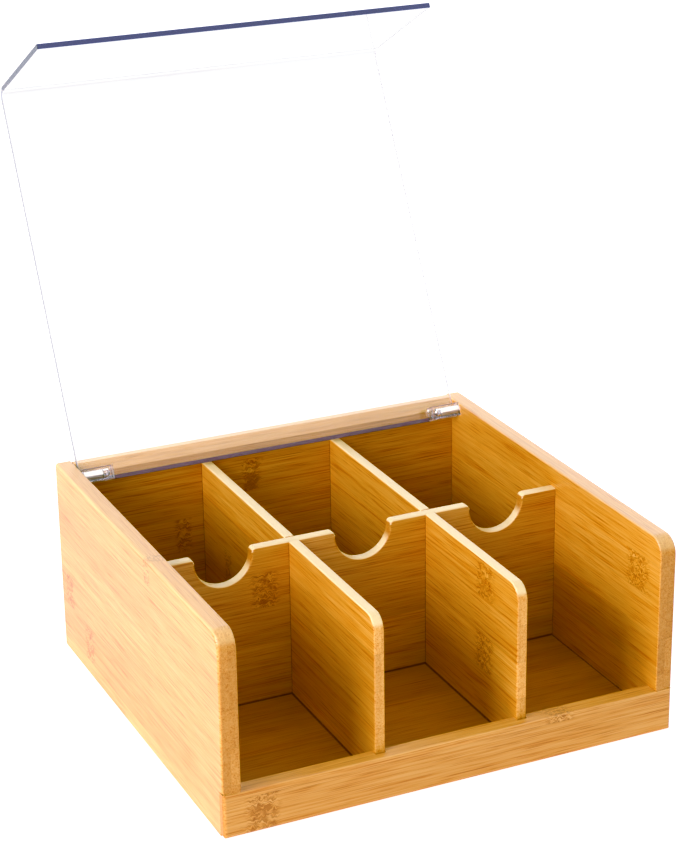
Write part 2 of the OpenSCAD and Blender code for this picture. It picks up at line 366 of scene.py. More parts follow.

# %% [markdown]
# Faces that look across the strips, the boards' long top edges, get a painted highlight: their
# colour is mixed towards pale cream, as light from above would show it, while faces stay golden.
# The group tells them by their direction across the strips. Sawn ends drink varnish and stay
# duller.

# %% Sanded edges, gloss and relief
# the pale cream of the painted highlight on top edges
TOP_LIGHT_WOOD = (1.0, 0.84, 0.40, 1)
ROUGH, ROUGH_FIBRES, ROUGH_ENDS, ROUGH_JOINTS = 0.30, 0.16, 0.15, 0.3
HAIRS_DEEP, KNOTS_DEEP, SEAMS_DEEP = 1.2, 0.8, 0.7  # against fibres that stand up by 1

paler = add(bamboo, "ShaderNodeMix", {0: painted_top_light, 6: tinted, 7: TOP_LIGHT_WOOD},
            data_type="RGBA").outputs[2]
bamboo.links.new(paler, made["Color"])

rough = calc(bamboo, "MULTIPLY_ADD", fibres, ROUGH_FIBRES, ROUGH)
rough = calc(bamboo, "MULTIPLY_ADD", sawn_end, ROUGH_ENDS, rough)
rough = calc(bamboo, "MULTIPLY_ADD", given["Joint shade"], ROUGH_JOINTS, rough)
bamboo.links.new(rough, made["Roughness"])
relief = calc(bamboo, "MULTIPLY_ADD", dark_hairs, -HAIRS_DEEP, fibres)
relief = calc(bamboo, "MULTIPLY_ADD", knot_marks, -KNOTS_DEEP, relief)
relief = calc(bamboo, "MULTIPLY_ADD", seam_line, -SEAMS_DEEP, relief)
bamboo.links.new(relief, made["Height"])
print("group", bamboo.name, "with", len(bamboo.nodes), "nodes")

# %% [markdown]
# Every board gets a material of its own that turns the group to the board's grain and says where
# its glue lines and knuckles are. The turn is one Mapping node. A satin varnish lies over the wood
# as a thin coat.

# %% Turn the pattern, and place its knuckles and joint lines
GRAIN = {
    "back": Matrix(((0, 1, 0), (0, 0, 1), (1, 0, 0))).to_euler(),    # runs front to back
    "side": Matrix(((1, 0, 0), (0, 0, 1), (0, -1, 0))).to_euler(),   # runs left to right
    "flat": Euler((0, 0, 0)),                                        # left to right, lying flat
}
# The joint lines are painted shade and dust along the places where boards meet.
LOW_LINE_TOP = 12  # lines on the floor end at this height; all in mm
LOW_LINE, TALL_LINE = 1.3, 0.28  # half widths of lines on the floor and up the walls
MET_FACE = 0.5  # least cosine between a face and met_on


def knuckle_mask(tree, place, knuckles_mm):
    """Knuckles in a row, each passed the mask of the one before. 0 where there are none."""
    mask = 0.0
    for spot in knuckles_mm:
        mark = add(tree, "ShaderNodeGroup", node_tree=knuckle_group)
        tree.links.new(place, mark.inputs["Place"])
        for label, value in zip(("Along", "Across", "Half length", "Half width"), spot):
            mark.inputs[label].default_value = value * MM
        if mask:
            tree.links.new(mask, mark.inputs["Before"])
        mask = mark.outputs[0]
    return mask


def joint_mask(tree, where, joints_mm, met_on):
    """Joint lines in a row, kept to the faces that look along met_on if that is given."""
    spots = add(tree, "ShaderNodeSeparateXYZ", {0: where["Object"]}).outputs
    mask = 0.0
    for axis, at, line_top in joints_mm:
        line = add(tree, "ShaderNodeGroup", node_tree=joint_shade_group)
        tree.links.new(spots["XYZ".index(axis)], line.inputs["Distance"])
        tree.links.new(spots[2], line.inputs["Height"])
        half_width = LOW_LINE if line_top == LOW_LINE_TOP else TALL_LINE
        for label, value in (("At", at), ("Top", line_top), ("Half width", half_width)):
            line.inputs[label].default_value = value * MM
        if mask:
            tree.links.new(mask, line.inputs["Before"])
        mask = line.outputs[0]
    if met_on:
        turned = add(tree, "ShaderNodeVectorMath", {0: where["Normal"], 1: met_on},
                     operation="DOT_PRODUCT").outputs["Value"]
        mask = calc(tree, "MULTIPLY", mask, calc(tree, "GREATER_THAN", turned, MET_FACE))
    return mask


print("grain directions", list(GRAIN))

# %% A material for each board
BUMP, BUMP_DEEP = 0.3, 0.1 * MM
VARNISH, VARNISH_ROUGH, WOOD_IOR = 0.25, 0.3, 1.5


def board_material(name, grain, board, seam, knuckles, joints=(), met_on=None, tone=1.0,
                   end_tone=0.80, top_lit=0.6):
    """board is the board's random number and seam the place of a glue line. knuckles lists
    (along, across, half length, half width) in the board's directions, and joints lists (axis,
    place, top) of the lines where other boards meet this one. All lengths are in mm. met_on is
    the direction of the face that they meet, for a board that has them on one face only."""
    material, tree = new_material(name)
    where = add(tree, "ShaderNodeTexCoord").outputs
    place = add(tree, "ShaderNodeMapping",
                {0: where["Object"], "Rotation": GRAIN[grain]}).outputs[0]
    facing = add(tree, "ShaderNodeMapping", {0: where["Normal"], "Rotation": GRAIN[grain]},
                 vector_type="VECTOR").outputs[0]
    wood = add(tree, "ShaderNodeGroup", node_tree=bamboo)
    for label, mask in (("Place", place), ("Facing", facing),
                        ("Knuckles", knuckle_mask(tree, place, knuckles)),
                        ("Joint shade", joint_mask(tree, where, joints, met_on))):
        if mask:
            tree.links.new(mask, wood.inputs[label])
    for label, value in (("Board", board), ("Strip", STRIP), ("Seam", seam * MM),
                         ("Tone", tone), ("End tone", end_tone), ("Top light", top_lit)):
        wood.inputs[label].default_value = value
    bump = add(tree, "ShaderNodeBump", {"Height": wood.outputs["Height"], "Strength": BUMP,
                                        "Distance": BUMP_DEEP}).outputs[0]
    surface = add(tree, "ShaderNodeBsdfPrincipled",
                  {"Base Color": wood.outputs["Color"], "Roughness": wood.outputs["Roughness"],
                   "Normal": bump, "IOR": WOOD_IOR, "Coat Weight": VARNISH,
                   "Coat Roughness": VARNISH_ROUGH})
    add(tree, "ShaderNodeOutputMaterial", {"Surface": surface.outputs[0]})
    return material


print("boards in strips of", STRIP, "m")

# %% [markdown]
# Each board's random number, seam and knuckles differ, and so does its tone, partly at random
# and partly as painted light: the floor, the cross divider and the back are darker, as painted
# shade inside the box, and the left panel and the dividers, which face the light, are lighter. A
# divider's top edge gets the strongest painted highlight, and the rail's hardly any.

# %% The eight boards' materials
# Where boards meet, in mm
FLOOR_Z, DIVIDER_TOP, CROSS_Y, BACK_Y = 10, 100, (106.5, 112.5), 233
INNER_X, DIVIDERS_X, RAIL_Y = (-120, 120), (-44, -38, 38, 44), 4.5
along_cross = [("Y", y, DIVIDER_TOP) for y in CROSS_Y]
along_back = [("Y", BACK_Y, DIVIDER_TOP)]
at_dividers = [("X", x, DIVIDER_TOP) for x in DIVIDERS_X]
at_sides = [("X", x, DIVIDER_TOP) for x in INNER_X]
on_floor = [("Z", FLOOR_Z, LOW_LINE_TOP)]
round_base = ([("X", x, LOW_LINE_TOP) for x in INNER_X + DIVIDERS_X]
              + [("Y", y, LOW_LINE_TOP) for y in (RAIL_Y,) + CROSS_Y + (BACK_Y,)])

# Tones are partly painted light: below 1 is painted shade on boards inside the box, above 1 a
# board that faces the light.
BOARDS = {
    "left_side_panel": board_material(
        "bamboo_left_side", "back", board=1.0, seam=8.5,
        knuckles=[(195, 19, 8, 10.5), (94, 107, 5, 8), (227, 40, 7, 10)],
        tone=1.05, end_tone=0.77, top_lit=0.25),
    "right_side_panel": board_material(
        "bamboo_right_side", "back", board=14.0, seam=76.5,
        knuckles=[(18, 87, 12, 10.5), (150, 45, 7, 10)], tone=0.97, top_lit=0.25),
    "back_panel": board_material(
        "bamboo_back", "side", board=27.0, seam=47,
        knuckles=[(-57, 57.5, 6, 10.5), (-13, 88, 7, 10)],
        joints=on_floor + at_dividers, met_on=(0, -1, 0), tone=0.97, top_lit=0.3),
    "front_rail": board_material(
        "bamboo_rail", "side", board=33.0, seam=21,
        knuckles=[(-109, 10.5, 10, 11), (61, 24.5, 9, 3.5)], top_lit=0.1),
    "base_panel": board_material(
        "bamboo_base", "flat", board=45.0, seam=9, knuckles=[(60, 165, 6, 10)],
        joints=round_base, met_on=(0, 0, 1), tone=0.70),
    "left_divider": board_material(
        "bamboo_left_divider", "back", board=52.0, seam=18, knuckles=[(196, 49, 6, 10)],
        joints=on_floor + along_cross + along_back, tone=1.04, end_tone=1.10, top_lit=0.8),
    "right_divider": board_material(
        "bamboo_right_divider", "back", board=66.0, seam=37,
        knuckles=[(37, 89.5, 11, 10), (38, 47.5, 11, 10.5)],
        joints=on_floor + along_cross + along_back, tone=1.06, end_tone=1.10, top_lit=0.8),
    "cross_divider": board_material(
        "bamboo_cross", "side", board=71.0, seam=65.3, knuckles=[(-58.6, 75.8, 9, 10.5)],
        joints=on_floor + at_dividers + at_sides, tone=0.88, top_lit=0.8),
}
print(len(BOARDS), "board materials")

# %% [markdown]
# ## Clear plastic and steel
#
# The lid is cast acrylic: clear, polished, and bending light a little less than window glass. Its
# sawn and polished edges don't look clear, because there one looks along the sheet through many
# centimetres of it: dark blue at the flap's end, mauve at the rear, and nearly clear along the
# sides. The hinge blocks' eased edges show a little of that mauve. Light that goes astray inside a
# 3 mm sheet is slow to render, so each edge gets a tinted twin of the material instead, with that
# light painted into its colour; the mauve is a painted reflection of the wood.

# %% Clear materials
ACRYLIC_IOR = 1.49
HAZE_SCALE, HAZE_DETAIL, HAZE_AT = 60.0, 3.0, (0.35, 0.75)
HAZY_ROUGH, HAZY_TINT = 1.5, 0.985  # what haze does to roughness and to colour


def clear_material(name, color, clear, rough):
    """Acrylic with a faint, cloudy haze. clear is the share of light that passes through."""
    material, tree = new_material(name)
    place = add(tree, "ShaderNodeTexCoord").outputs["Object"]
    cloudy = add(tree, "ShaderNodeTexNoise",
                 {"Vector": place, "Scale": HAZE_SCALE, "Detail": HAZE_DETAIL}).outputs[0]
    if rough:
        rough = fade(tree, cloudy, *HAZE_AT, rough, rough * HAZY_ROUGH)
    hazy = (v * HAZY_TINT for v in color)
    tint = add(tree, "ShaderNodeMix",
               {0: fade(tree, cloudy, *HAZE_AT), 6: (*color, 1), 7: (*hazy, 1)},
               data_type="RGBA").outputs[2]
    surface = add(tree, "ShaderNodeBsdfPrincipled",
                  {"Base Color": tint, "Roughness": rough, "IOR": ACRYLIC_IOR,
                   "Transmission Weight": clear})
    add(tree, "ShaderNodeOutputMaterial", {"Surface": surface.outputs[0]})
    return material


CLEAR = clear_material("clear_acrylic", (0.985, 0.99, 1.0), clear=1.0, rough=0.0)
EDGE = clear_material("clear_acrylic_edge", (0.050, 0.035, 0.19), clear=0.30, rough=0.12)
SIDE_EDGE = clear_material("clear_acrylic_side_edge", (0.93, 0.93, 0.95), clear=0.65, rough=0.05)
# painted reflection of the wood in the rear bevel
REAR_EDGE = clear_material("clear_acrylic_rear_edge", (0.12, 0.012, 0.07), clear=0.10, rough=0.4)
FLAP_SIDE = clear_material("clear_acrylic_flap_side", (0.75, 0.71, 0.73), clear=0.85, rough=0.08)
# a little of the same painted wood reflection
BLOCK_EDGE = clear_material("clear_acrylic_block_edge", (0.60, 0.34, 0.37), clear=0.7, rough=0.1)
SHEET, BLOCK = [CLEAR, EDGE, REAR_EDGE, SIDE_EDGE, FLAP_SIDE], [CLEAR, BLOCK_EDGE]
print([material.name for material in SHEET + BLOCK[1:]])

# %% [markdown]
# The pins are short lengths of drawn steel rod. Drawing leaves very fine lines along the rod,
# which blur reflections round it, so the roughness varies round the pin and hardly along it.

# %% Steel
DRAWN_LINES = (90.0, 4000.0, 4000.0)  # noise per metre: along the rod, and round it
DRAWN_AT, DRAWN_ROUGH = (0.3, 0.7), (0.34, 0.46)
DRAWN_BUMP, DRAWN_DEEP = 0.1, 0.01 * MM

STEEL, tree = new_material("pin_steel")
place = add(tree, "ShaderNodeTexCoord").outputs["Object"]
lines = add(tree, "ShaderNodeMapping", {0: place, "Scale": DRAWN_LINES}).outputs[0]
drawn = add(tree, "ShaderNodeTexNoise", {"Vector": lines, "Scale": 1.0, "Detail": 2.0}).outputs[0]
bump = add(tree, "ShaderNodeBump",
           {"Height": drawn, "Strength": DRAWN_BUMP, "Distance": DRAWN_DEEP}).outputs[0]
metal = add(tree, "ShaderNodeBsdfPrincipled",
            {"Base Color": (0.80, 0.79, 0.78, 1), "Metallic": 1.0,
             "Roughness": fade(tree, drawn, *DRAWN_AT, *DRAWN_ROUGH), "Normal": bump})
add(tree, "ShaderNodeOutputMaterial", {"Surface": metal.outputs[0]})
print(STEEL.name)

# %% [markdown]
# ## Boards
#
# A board is an outline with a thickness. A few corner points make its face, one extrude gives the
# thickness, and bevels do the rest: large ones round a corner of the outline, small ones ease the
# edges as sandpaper does. Eased edges matter more than anything else here, because they catch the
# light and draw the box.

# %% Saw a board
def only_verts(parts):
    return [part for part in parts if isinstance(part, bmesh.types.BMVert)]


def sawn_board(outline, axis, start, end):
    """The outline, as points on the other two axes in order, made solid from start to end."""
    bm = bmesh.new()
    corners = []
    for a, b in outline:
        spot = [a, b]
        spot.insert(axis, start)
        corners.append(bm.verts.new(spot))
    face = bm.faces.new(corners)
    pulled = bmesh.ops.extrude_face_region(bm, geom=[face])["geom"]
    step = Vector((0, 0, 0))
    step[axis] = end - start
    bmesh.ops.translate(bm, verts=only_verts(pulled), vec=step)
    bmesh.ops.recalc_face_normals(bm, faces=bm.faces)
    return bm


print("saw ready")

# %% [markdown]
# A bevel needs its edges named, which is easiest by where their ends are and which way they run.
# Only sharp edges count, so a corner that is round already isn't eased again.

# %% Choose edges and ease them
TOUCH = 0.01 * MM  # places no further apart than this are the same
SHARP = 0.6  # radians between two faces that meet in a sharp edge
EDGE_R = 2 * MM  # outer edges of the box
SOFT_R = 1 * MM  # edges inside it
FOOT_R = 0.6 * MM  # edges that stand on another board
JOINT_R = 0.3 * MM  # edges that lie against another board


def near(value, wanted):
    return abs(value - wanted) < TOUCH


def anywhere(place):
    return True


def edges_where(bm, test, along=None, across=None):
    """The sharp edges both of whose ends pass the test. along keeps those whose ends differ in
    that coordinate, and across those whose ends agree in it."""
    found = [e for e in bm.edges
             if len(e.link_faces) == 2 and e.calc_face_angle() > SHARP
             and all(test(v.co) for v in e.verts)]
    if along is not None:
        found = [e for e in found if not near(e.verts[0].co[along], e.verts[1].co[along])]
    if across is not None:
        found = [e for e in found if near(e.verts[0].co[across], e.verts[1].co[across])]
    return found


def ease(bm, edges, radius, segments):
    bmesh.ops.bevel(bm, geom=edges, offset=radius, offset_type="OFFSET", affect="EDGES",
                    segments=segments, profile=0.5, material=-1, clamp_overlap=False)


print("edges eased by", EDGE_R, SOFT_R, FOOT_R, "or", JOINT_R, "m")

# %% [markdown]
# Each finished mesh is handed over in the same way. It is shaded smooth across its eased edges,
# and a Weighted Normal modifier keeps the broad faces beside them flat. Then it is told which body
# it moves with and given its finish, and the solid that it stands for is hidden.

# %% Hand a piece over
def add_piece(name, bm, materials, body, node, smooth_angle=35):
    """Turn the bmesh into an object that rides on a body and stands for a CAD node."""
    mesh = bpy.data.meshes.new(name)
    bm.to_mesh(mesh)
    bm.free()
    for material in materials:
        mesh.materials.append(material)
    mesh.shade_smooth()
    mesh.set_sharp_from_angle(angle=math.radians(smooth_angle))
    piece = bpy.data.objects.new(name, mesh)
    bpy.context.scene.collection.objects.link(piece)
    even = piece.modifiers.new("even_shading", "WEIGHTED_NORMAL")
    even.keep_sharp, even.weight = True, 100
    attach(piece, body)
    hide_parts(node)
    print(name, len(mesh.polygons), "faces")
    return piece


# %% [markdown]
# The side panels are full boards with the front top corner rounded, and a step at the front
# bottom, where the rail's front layer laps over their ends.

# %% Side panels
CORNER_R = 10 * MM
RAIL_LAP = 4.5 * MM  # thickness of the rail's front layer
MARGIN = 0.6 * MM  # round the step, where the rail lies against the panel
rail_low, rail_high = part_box("front_rail")
lap_y = rail_low.y + RAIL_LAP
side_low, side_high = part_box("right_side_panel")


def side_panel(node, inner, outer):
    front, rear, top, rail_top = side_low.y, side_high.y, side_high.z, rail_high.z
    outline = [(lap_y, 0), (rear, 0), (rear, top), (front, top), (front, rail_top),
               (lap_y, rail_top)]
    bm = sawn_board(outline, 0, inner, outer)
    corner = edges_where(bm, lambda p: near(p.y, front) and near(p.z, top))
    ease(bm, corner, CORNER_R, segments=14)
    step = edges_where(bm, lambda p: p.z < rail_top + TOUCH and p.y < lap_y + TOUCH)
    ease(bm, step, JOINT_R, segments=1)
    outside = edges_where(bm, lambda p: near(p.x, outer)
                          and not (p.y < lap_y + MARGIN and p.z < rail_top - 10 * TOUCH))
    ease(bm, outside, EDGE_R, segments=5)
    inside = edges_where(bm, lambda p: near(p.x, inner)
                         and (near(p.z, top)
                              or p.z > rail_top - MARGIN and p.y < rear - 10 * TOUCH))
    ease(bm, inside, SOFT_R, segments=3)
    add_piece(node + "_board", bm, [BOARDS[node]], "box", node)


side_panel("left_side_panel", -side_low.x, -side_high.x)
side_panel("right_side_panel", side_low.x, side_high.x)

# %% [markdown]
# The back panel's top front edge is planed to the slope that the open lid leans on. The slope is a
# line at a fixed distance from the hinge axis, so its two ends follow from the hinge.

# %% Back panel
LEAN = math.radians(28)  # of the slope and of the open lid
SLOPE_FROM_AXIS = 7.3 * MM
FLAT_ANGLE = 20  # degrees: keeps the slope's edges sharp to the light
back_low, back_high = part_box("back_panel")

slope_z = hinge.z + ((back_low.y - hinge.y) * math.cos(LEAN) - SLOPE_FROM_AXIS) / math.sin(LEAN)
top_y = hinge.y + (SLOPE_FROM_AXIS + (back_high.z - hinge.z) * math.sin(LEAN)) / math.cos(LEAN)
outline = [(back_low.y, 0), (back_high.y, 0), (back_high.y, back_high.z), (top_y, back_high.z),
           (back_low.y, slope_z)]
bm = sawn_board(outline, 0, back_low.x, back_high.x)
ease(bm, edges_where(bm, lambda p: near(p.y, back_high.y), along=0), EDGE_R, segments=5)
ease(bm, edges_where(bm, lambda p: p.z > slope_z - TOUCH and p.y < top_y + TOUCH, along=0),
     JOINT_R, segments=2)
ease(bm, edges_where(bm, lambda p: near(abs(p.x), back_high.x)), JOINT_R, segments=1)
add_piece("back_panel_board", bm, [BOARDS["back_panel"]], "box", "back_panel",
          smooth_angle=FLAT_ANGLE)

# %% [markdown]
# The long dividers step up over the rail at the front, and are slotted from the top for the cross
# divider. Their front top corner is rounded like the side panels', so that hands don't catch.

# %% Long dividers
DIVIDER_CORNER_R = 9 * MM
RAIL_NOTCH = 1.5 * MM  # how deep the dividers are let into the rail's top
PLAY = 0.05 * MM  # on each side of a board in its slot
divider_low, divider_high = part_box("left_divider")
cross_low, cross_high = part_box("cross_divider")
lap_z = (divider_low.z + divider_high.z) / 2
step_z = rail_high.z - RAIL_NOTCH


def long_divider(node):
    low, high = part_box(node)
    slot_front, slot_rear = cross_low.y - PLAY, cross_high.y + PLAY
    outline = [(low.y, step_z), (rail_high.y, step_z), (rail_high.y, low.z), (high.y, low.z),
               (high.y, high.z), (slot_rear, high.z), (slot_rear, lap_z), (slot_front, lap_z),
               (slot_front, high.z), (low.y, high.z)]
    bm = sawn_board(outline, 0, low.x, high.x)
    corner = edges_where(bm, lambda p: near(p.y, low.y) and near(p.z, high.z))
    ease(bm, corner, DIVIDER_CORNER_R, segments=14)
    hidden = (edges_where(bm, lambda p: slot_front - TOUCH < p.y < slot_rear + TOUCH, across=0)
              + edges_where(bm, lambda p: p.z < step_z + TOUCH, across=0)
              + edges_where(bm, lambda p: near(p.y, high.y), across=0))
    shown = [e for e in edges_where(bm, anywhere, across=0) if e not in hidden]
    ease(bm, shown, SOFT_R, segments=3)
    ease(bm, edges_where(bm, lambda p: p.z < low.z + TOUCH, across=0), FOOT_R, segments=2)
    add_piece(node + "_board", bm, [BOARDS[node]], "box", node)


long_divider("left_divider")
long_divider("right_divider")

# %% [markdown]
# The cross divider has a finger notch over each compartment. A notch starts as a square cut: its
# bottom corners get a bevel as large as half its width, which makes them one half circle, and its
# lips a small one.

# %% Cross divider with finger notches
NOTCH_R, NOTCH_DEEP = 16.5 * MM, 18.8 * MM
LIP_R = 2.4 * MM
divider_x = (divider_low.x + divider_high.x) / 2
half_t = (divider_high.x - divider_low.x) / 2
NOTCH_CENTRES = [2 * divider_x, 0, -2 * divider_x]  # left to right

notch_bottom = cross_high.z - NOTCH_DEEP
top_line = [(cross_low.x, cross_high.z)]
for centre in NOTCH_CENTRES:
    top_line += [(centre - NOTCH_R, cross_high.z), (centre - NOTCH_R, notch_bottom),
                 (centre + NOTCH_R, notch_bottom), (centre + NOTCH_R, cross_high.z)]
    if centre < NOTCH_CENTRES[-1]:
        crossing = centre - divider_x
        top_line += [(crossing - half_t, cross_high.z), (crossing + half_t, cross_high.z)]
top_line.append((cross_high.x, cross_high.z))
bottom_line = [(cross_high.x, cross_low.z)]
for crossing in (-divider_x, divider_x):
    reach = half_t + PLAY
    bottom_line += [(crossing + reach, cross_low.z), (crossing + reach, lap_z),
                    (crossing - reach, lap_z), (crossing - reach, cross_low.z)]
bottom_line.append((cross_low.x, cross_low.z))

bm = sawn_board(top_line + bottom_line, 1, cross_low.y, cross_high.y)
corners = edges_where(bm, lambda p: near(p.z, notch_bottom), across=0)
ease(bm, corners, NOTCH_R - TOUCH, segments=18)
lips = edges_where(bm, lambda p: near(p.z, cross_high.z)
                   and any(near(abs(p.x - c), NOTCH_R) for c in NOTCH_CENTRES), across=0)
ease(bm, lips, LIP_R, segments=6)
crossed = edges_where(bm, lambda p: near(p.z, cross_high.z)
                      and abs(abs(p.x) + divider_x) < half_t + TOUCH, across=1)
shown = [e for e in edges_where(bm, lambda p: p.z > lap_z + TOUCH, across=1)
         if e not in crossed]
ease(bm, shown, SOFT_R, segments=3)
ease(bm, edges_where(bm, lambda p: p.z < cross_low.z + TOUCH, across=1), FOOT_R, segments=2)
add_piece("cross_divider_board", bm, [BOARDS["cross_divider"]], "box", "cross_divider")

# %% [markdown]
# The rail and the base panel have their right shape already, so their solids stay and only get
# their material.

# %% Rail and base panel
for node in ("front_rail", "base_panel"):
    solid = frame["nodes"][node]
    solid.data.materials.clear()
    solid.data.materials.append(BOARDS[node])
print("rail and base dressed")

# %% [markdown]
# ## The lid
#
# The lid is one sheet, heated along a line and bent down over the front. It is easiest to make in
# the closed place, with the hinge axis as the origin: a line of points is pulled back to front,
# spun through a quarter turn for the bend and pulled on for the flap. The line is then pulled
# sideways into a skin, and Solidify's operator gives it the sheet's thickness. At the end it is
# turned into the open place. Clear plastic hardly shades what is under it, which a renderer would
# overdo, so the sheet and the blocks cast no shadow.

# %% The sheet, drawn closed
SHEET_T = 3 * MM
UNDER = 4 * MM  # underside above the hinge axis
REAR_REACH = 4 * MM  # rear edge behind the hinge axis
BEND_R, BEND_STEPS = 3.5 * MM, 14
FLAP_INSET = 0.2 * MM  # flap's outer face behind the rail's front
FLAP_GAP = 3.2 * MM  # flap's end above the rail while the sheet is level
OPEN_TURN = Matrix.Translation(hinge) @ Matrix.Rotation(-(math.pi / 2 + LEAN), 4, "X")
lid_low, lid_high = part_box("lid")
flap_outer = rail_low.y + FLAP_INSET - hinge.y
flap_end = rail_high.z + FLAP_GAP - hinge.z
top = UNDER + SHEET_T
outer_r = BEND_R + SHEET_T


def pull(bm, verts, step):
    """Extrude the points by one step and return the new ones."""
    new = bmesh.ops.extrude_vert_indiv(bm, verts=verts)["verts"]
    bmesh.ops.translate(bm, verts=new, vec=step)
    return new


bm = bmesh.new()
point = [bm.verts.new((lid_low.x, REAR_REACH, top))]
point = pull(bm, point, (0, flap_outer + outer_r - REAR_REACH, 0))
spun = bmesh.ops.spin(bm, geom=point, cent=(lid_low.x, flap_outer + outer_r, top - outer_r),
                      axis=(1, 0, 0), dvec=(0, 0, 0), angle=math.pi / 2, steps=BEND_STEPS,
                      use_merge=False)
pull(bm, only_verts(spun["geom_last"]), (0, 0, flap_end - (top - outer_r)))
skin = bmesh.ops.extrude_edge_only(bm, edges=bm.edges[:])["geom"]
bmesh.ops.translate(bm, verts=only_verts(skin), vec=(lid_high.x - lid_low.x, 0, 0))
bmesh.ops.recalc_face_normals(bm, faces=bm.faces)
if max(bm.faces, key=lambda f: f.calc_area()).normal.z < 0:
    bmesh.ops.reverse_faces(bm, faces=bm.faces)
bmesh.ops.solidify(bm, geom=bm.faces[:], thickness=SHEET_T)
ys = [v.co.y for v in bm.verts]
zs = [v.co.z for v in bm.verts]
print("sheet y", round(min(ys), 4), round(max(ys), 4), "z", round(min(zs), 4), round(max(zs), 4))

# %% Polish the sheet's edges and swing it open
REAR_BEVEL = 2.5 * MM
POLISH_R = 0.25 * MM
RIM = 1.0  # radians: sharper than the bend and the rear bevel
REARWARD = 0.3  # least part of a rear face's normal that points back

rear_top = edges_where(bm, lambda p: near(p.y, REAR_REACH) and near(p.z, top))
ease(bm, rear_top, REAR_BEVEL, segments=1)
rims = [e for e in edges_where(bm, anywhere) if e.calc_face_angle() > RIM]
ease(bm, rims, POLISH_R, segments=2)
for face in bm.faces:
    middle = face.calc_center_median()
    if abs(middle.x) > lid_high.x - POLISH_R:
        look = FLAP_SIDE if middle.z < top - outer_r or middle.x > 0 else SIDE_EDGE
    elif face.normal.y > REARWARD and middle.y > 0:
        look = REAR_EDGE
    elif middle.z < flap_end + POLISH_R:
        look = EDGE
    else:
        look = CLEAR
    face.material_index = SHEET.index(look)
bmesh.ops.transform(bm, matrix=OPEN_TURN, verts=bm.verts)
lid = add_piece("lid_sheet", bm, SHEET, "lid", "lid")
lid.visible_shadow = False

# %% [markdown]
# ## Hinges
#
# A block of the same clear plastic is bonded under each rear corner of the lid. It is drilled from
# its outer end, and a steel pin is pushed in. The part of the hole that the pin leaves free, with
# the cone that the drill's point cut, shows through the block, so it is modelled as a hollow. Both
# are made for the right side, and the left ones are mirrored.

# %% A block and a pin
BLOCK_S, BLOCK_L, BLOCK_R = 8 * MM, 18 * MM, 0.3 * MM
PIN_R, PIN_RIM_R = 2.5 * MM, 0.4 * MM
PIN_IN_BLOCK, PIN_OUT = 12 * MM, 6.6 * MM
HOLE_DEEP, PIN_GAP = 15 * MM, 0.1 * MM  # the hollow ends a little short of the pin
DRILL_POINT = math.radians(118)  # full angle
CONE = PIN_R / math.tan(DRILL_POINT / 2)
CONE_TIP = 0.98  # inset that leaves the cone nearly a point
FACE_ON = 0.99  # a normal's largest part on the block's flat faces
ALONG_X = Matrix.Rotation(math.pi / 2, 4, "Y")


def rod(bm, start, end):
    """A round length along X with the pin's radius."""
    middle = Matrix.Translation(((start + end) / 2, 0, 0))
    return bmesh.ops.create_cone(bm, cap_ends=True, segments=48, radius1=PIN_R, radius2=PIN_R,
                                 depth=end - start, matrix=middle @ ALONG_X)["verts"]


def drilled_block(outer):
    """A block whose outer end is at outer, with the hollow that its pin leaves free."""
    block = bmesh.new()
    size = Matrix.Diagonal((BLOCK_L, BLOCK_S, BLOCK_S, 1))
    bmesh.ops.create_cube(block, size=1,
                          matrix=Matrix.Translation((outer - BLOCK_L / 2, 0, 0)) @ size)
    ease(block, block.edges[:], BLOCK_R, segments=2)
    block.normal_update()
    for face in block.faces:
        look = BLOCK_EDGE if max(abs(v) for v in face.normal) < FACE_ON else CLEAR
        face.material_index = BLOCK.index(look)
    hole_end, pin_end = outer - HOLE_DEEP, outer - PIN_IN_BLOCK - PIN_GAP
    hollow = rod(block, hole_end, pin_end)
    floor = next(f for v in hollow for f in v.link_faces
                 if all(near(w.co.x, hole_end) for w in f.verts))
    bmesh.ops.inset_region(block, faces=[floor], thickness=PIN_R * CONE_TIP)
    bmesh.ops.translate(block, verts=floor.verts[:], vec=(-CONE, 0, 0))
    around = set(hollow) | set(floor.verts)
    hollow_faces = [f for f in block.faces if not around.isdisjoint(f.verts)]
    bmesh.ops.recalc_face_normals(block, faces=hollow_faces)
    bmesh.ops.reverse_faces(block, faces=hollow_faces)
    return block


def steel_pin(outer):
    """The pin of a block whose outer end is at outer."""
    pin = bmesh.new()
    rod(pin, outer - PIN_IN_BLOCK, outer + PIN_OUT)
    ease(pin, [e for e in pin.edges if e.calc_face_angle() > RIM], PIN_RIM_R, segments=3)
    return pin


print("drill cone", round(CONE / MM, 2), "mm deep")

# %% Left and right hinge
for name in ("left", "right"):
    block, pin = drilled_block(lid_high.x), steel_pin(lid_high.x)
    for bm in (block, pin):
        if name == "left":
            bmesh.ops.transform(bm, matrix=Matrix.Diagonal((-1, 1, 1, 1)), verts=bm.verts)
            bmesh.ops.reverse_faces(bm, faces=bm.faces)
        bmesh.ops.transform(bm, matrix=OPEN_TURN, verts=bm.verts)
    piece = add_piece(name + "_block", block, BLOCK, "lid",
                      name + "_hinge_block")
    piece.visible_shadow = False
    add_piece(name + "_pin", pin, [STEEL], "lid", name + "_hinge_pin")

# %% [markdown]
# ## Floor and light
#
# A white table in a light tent, with the table so bright that the box seems to float. Much of the
# light on the outer boards comes back up from the table, so the paper gives a little light itself.

# %% The table
TABLE_HALF = 6  # m
TABLE_DOWN = 0.2 * MM  # below the box, so that the two don't touch
PAPER, PAPER_ROUGH = (0.92, 0.92, 0.92, 1), 0.9
GLOW, GLOW_SEEN = 0.43, 0.85  # light that the paper gives, and shows to the camera

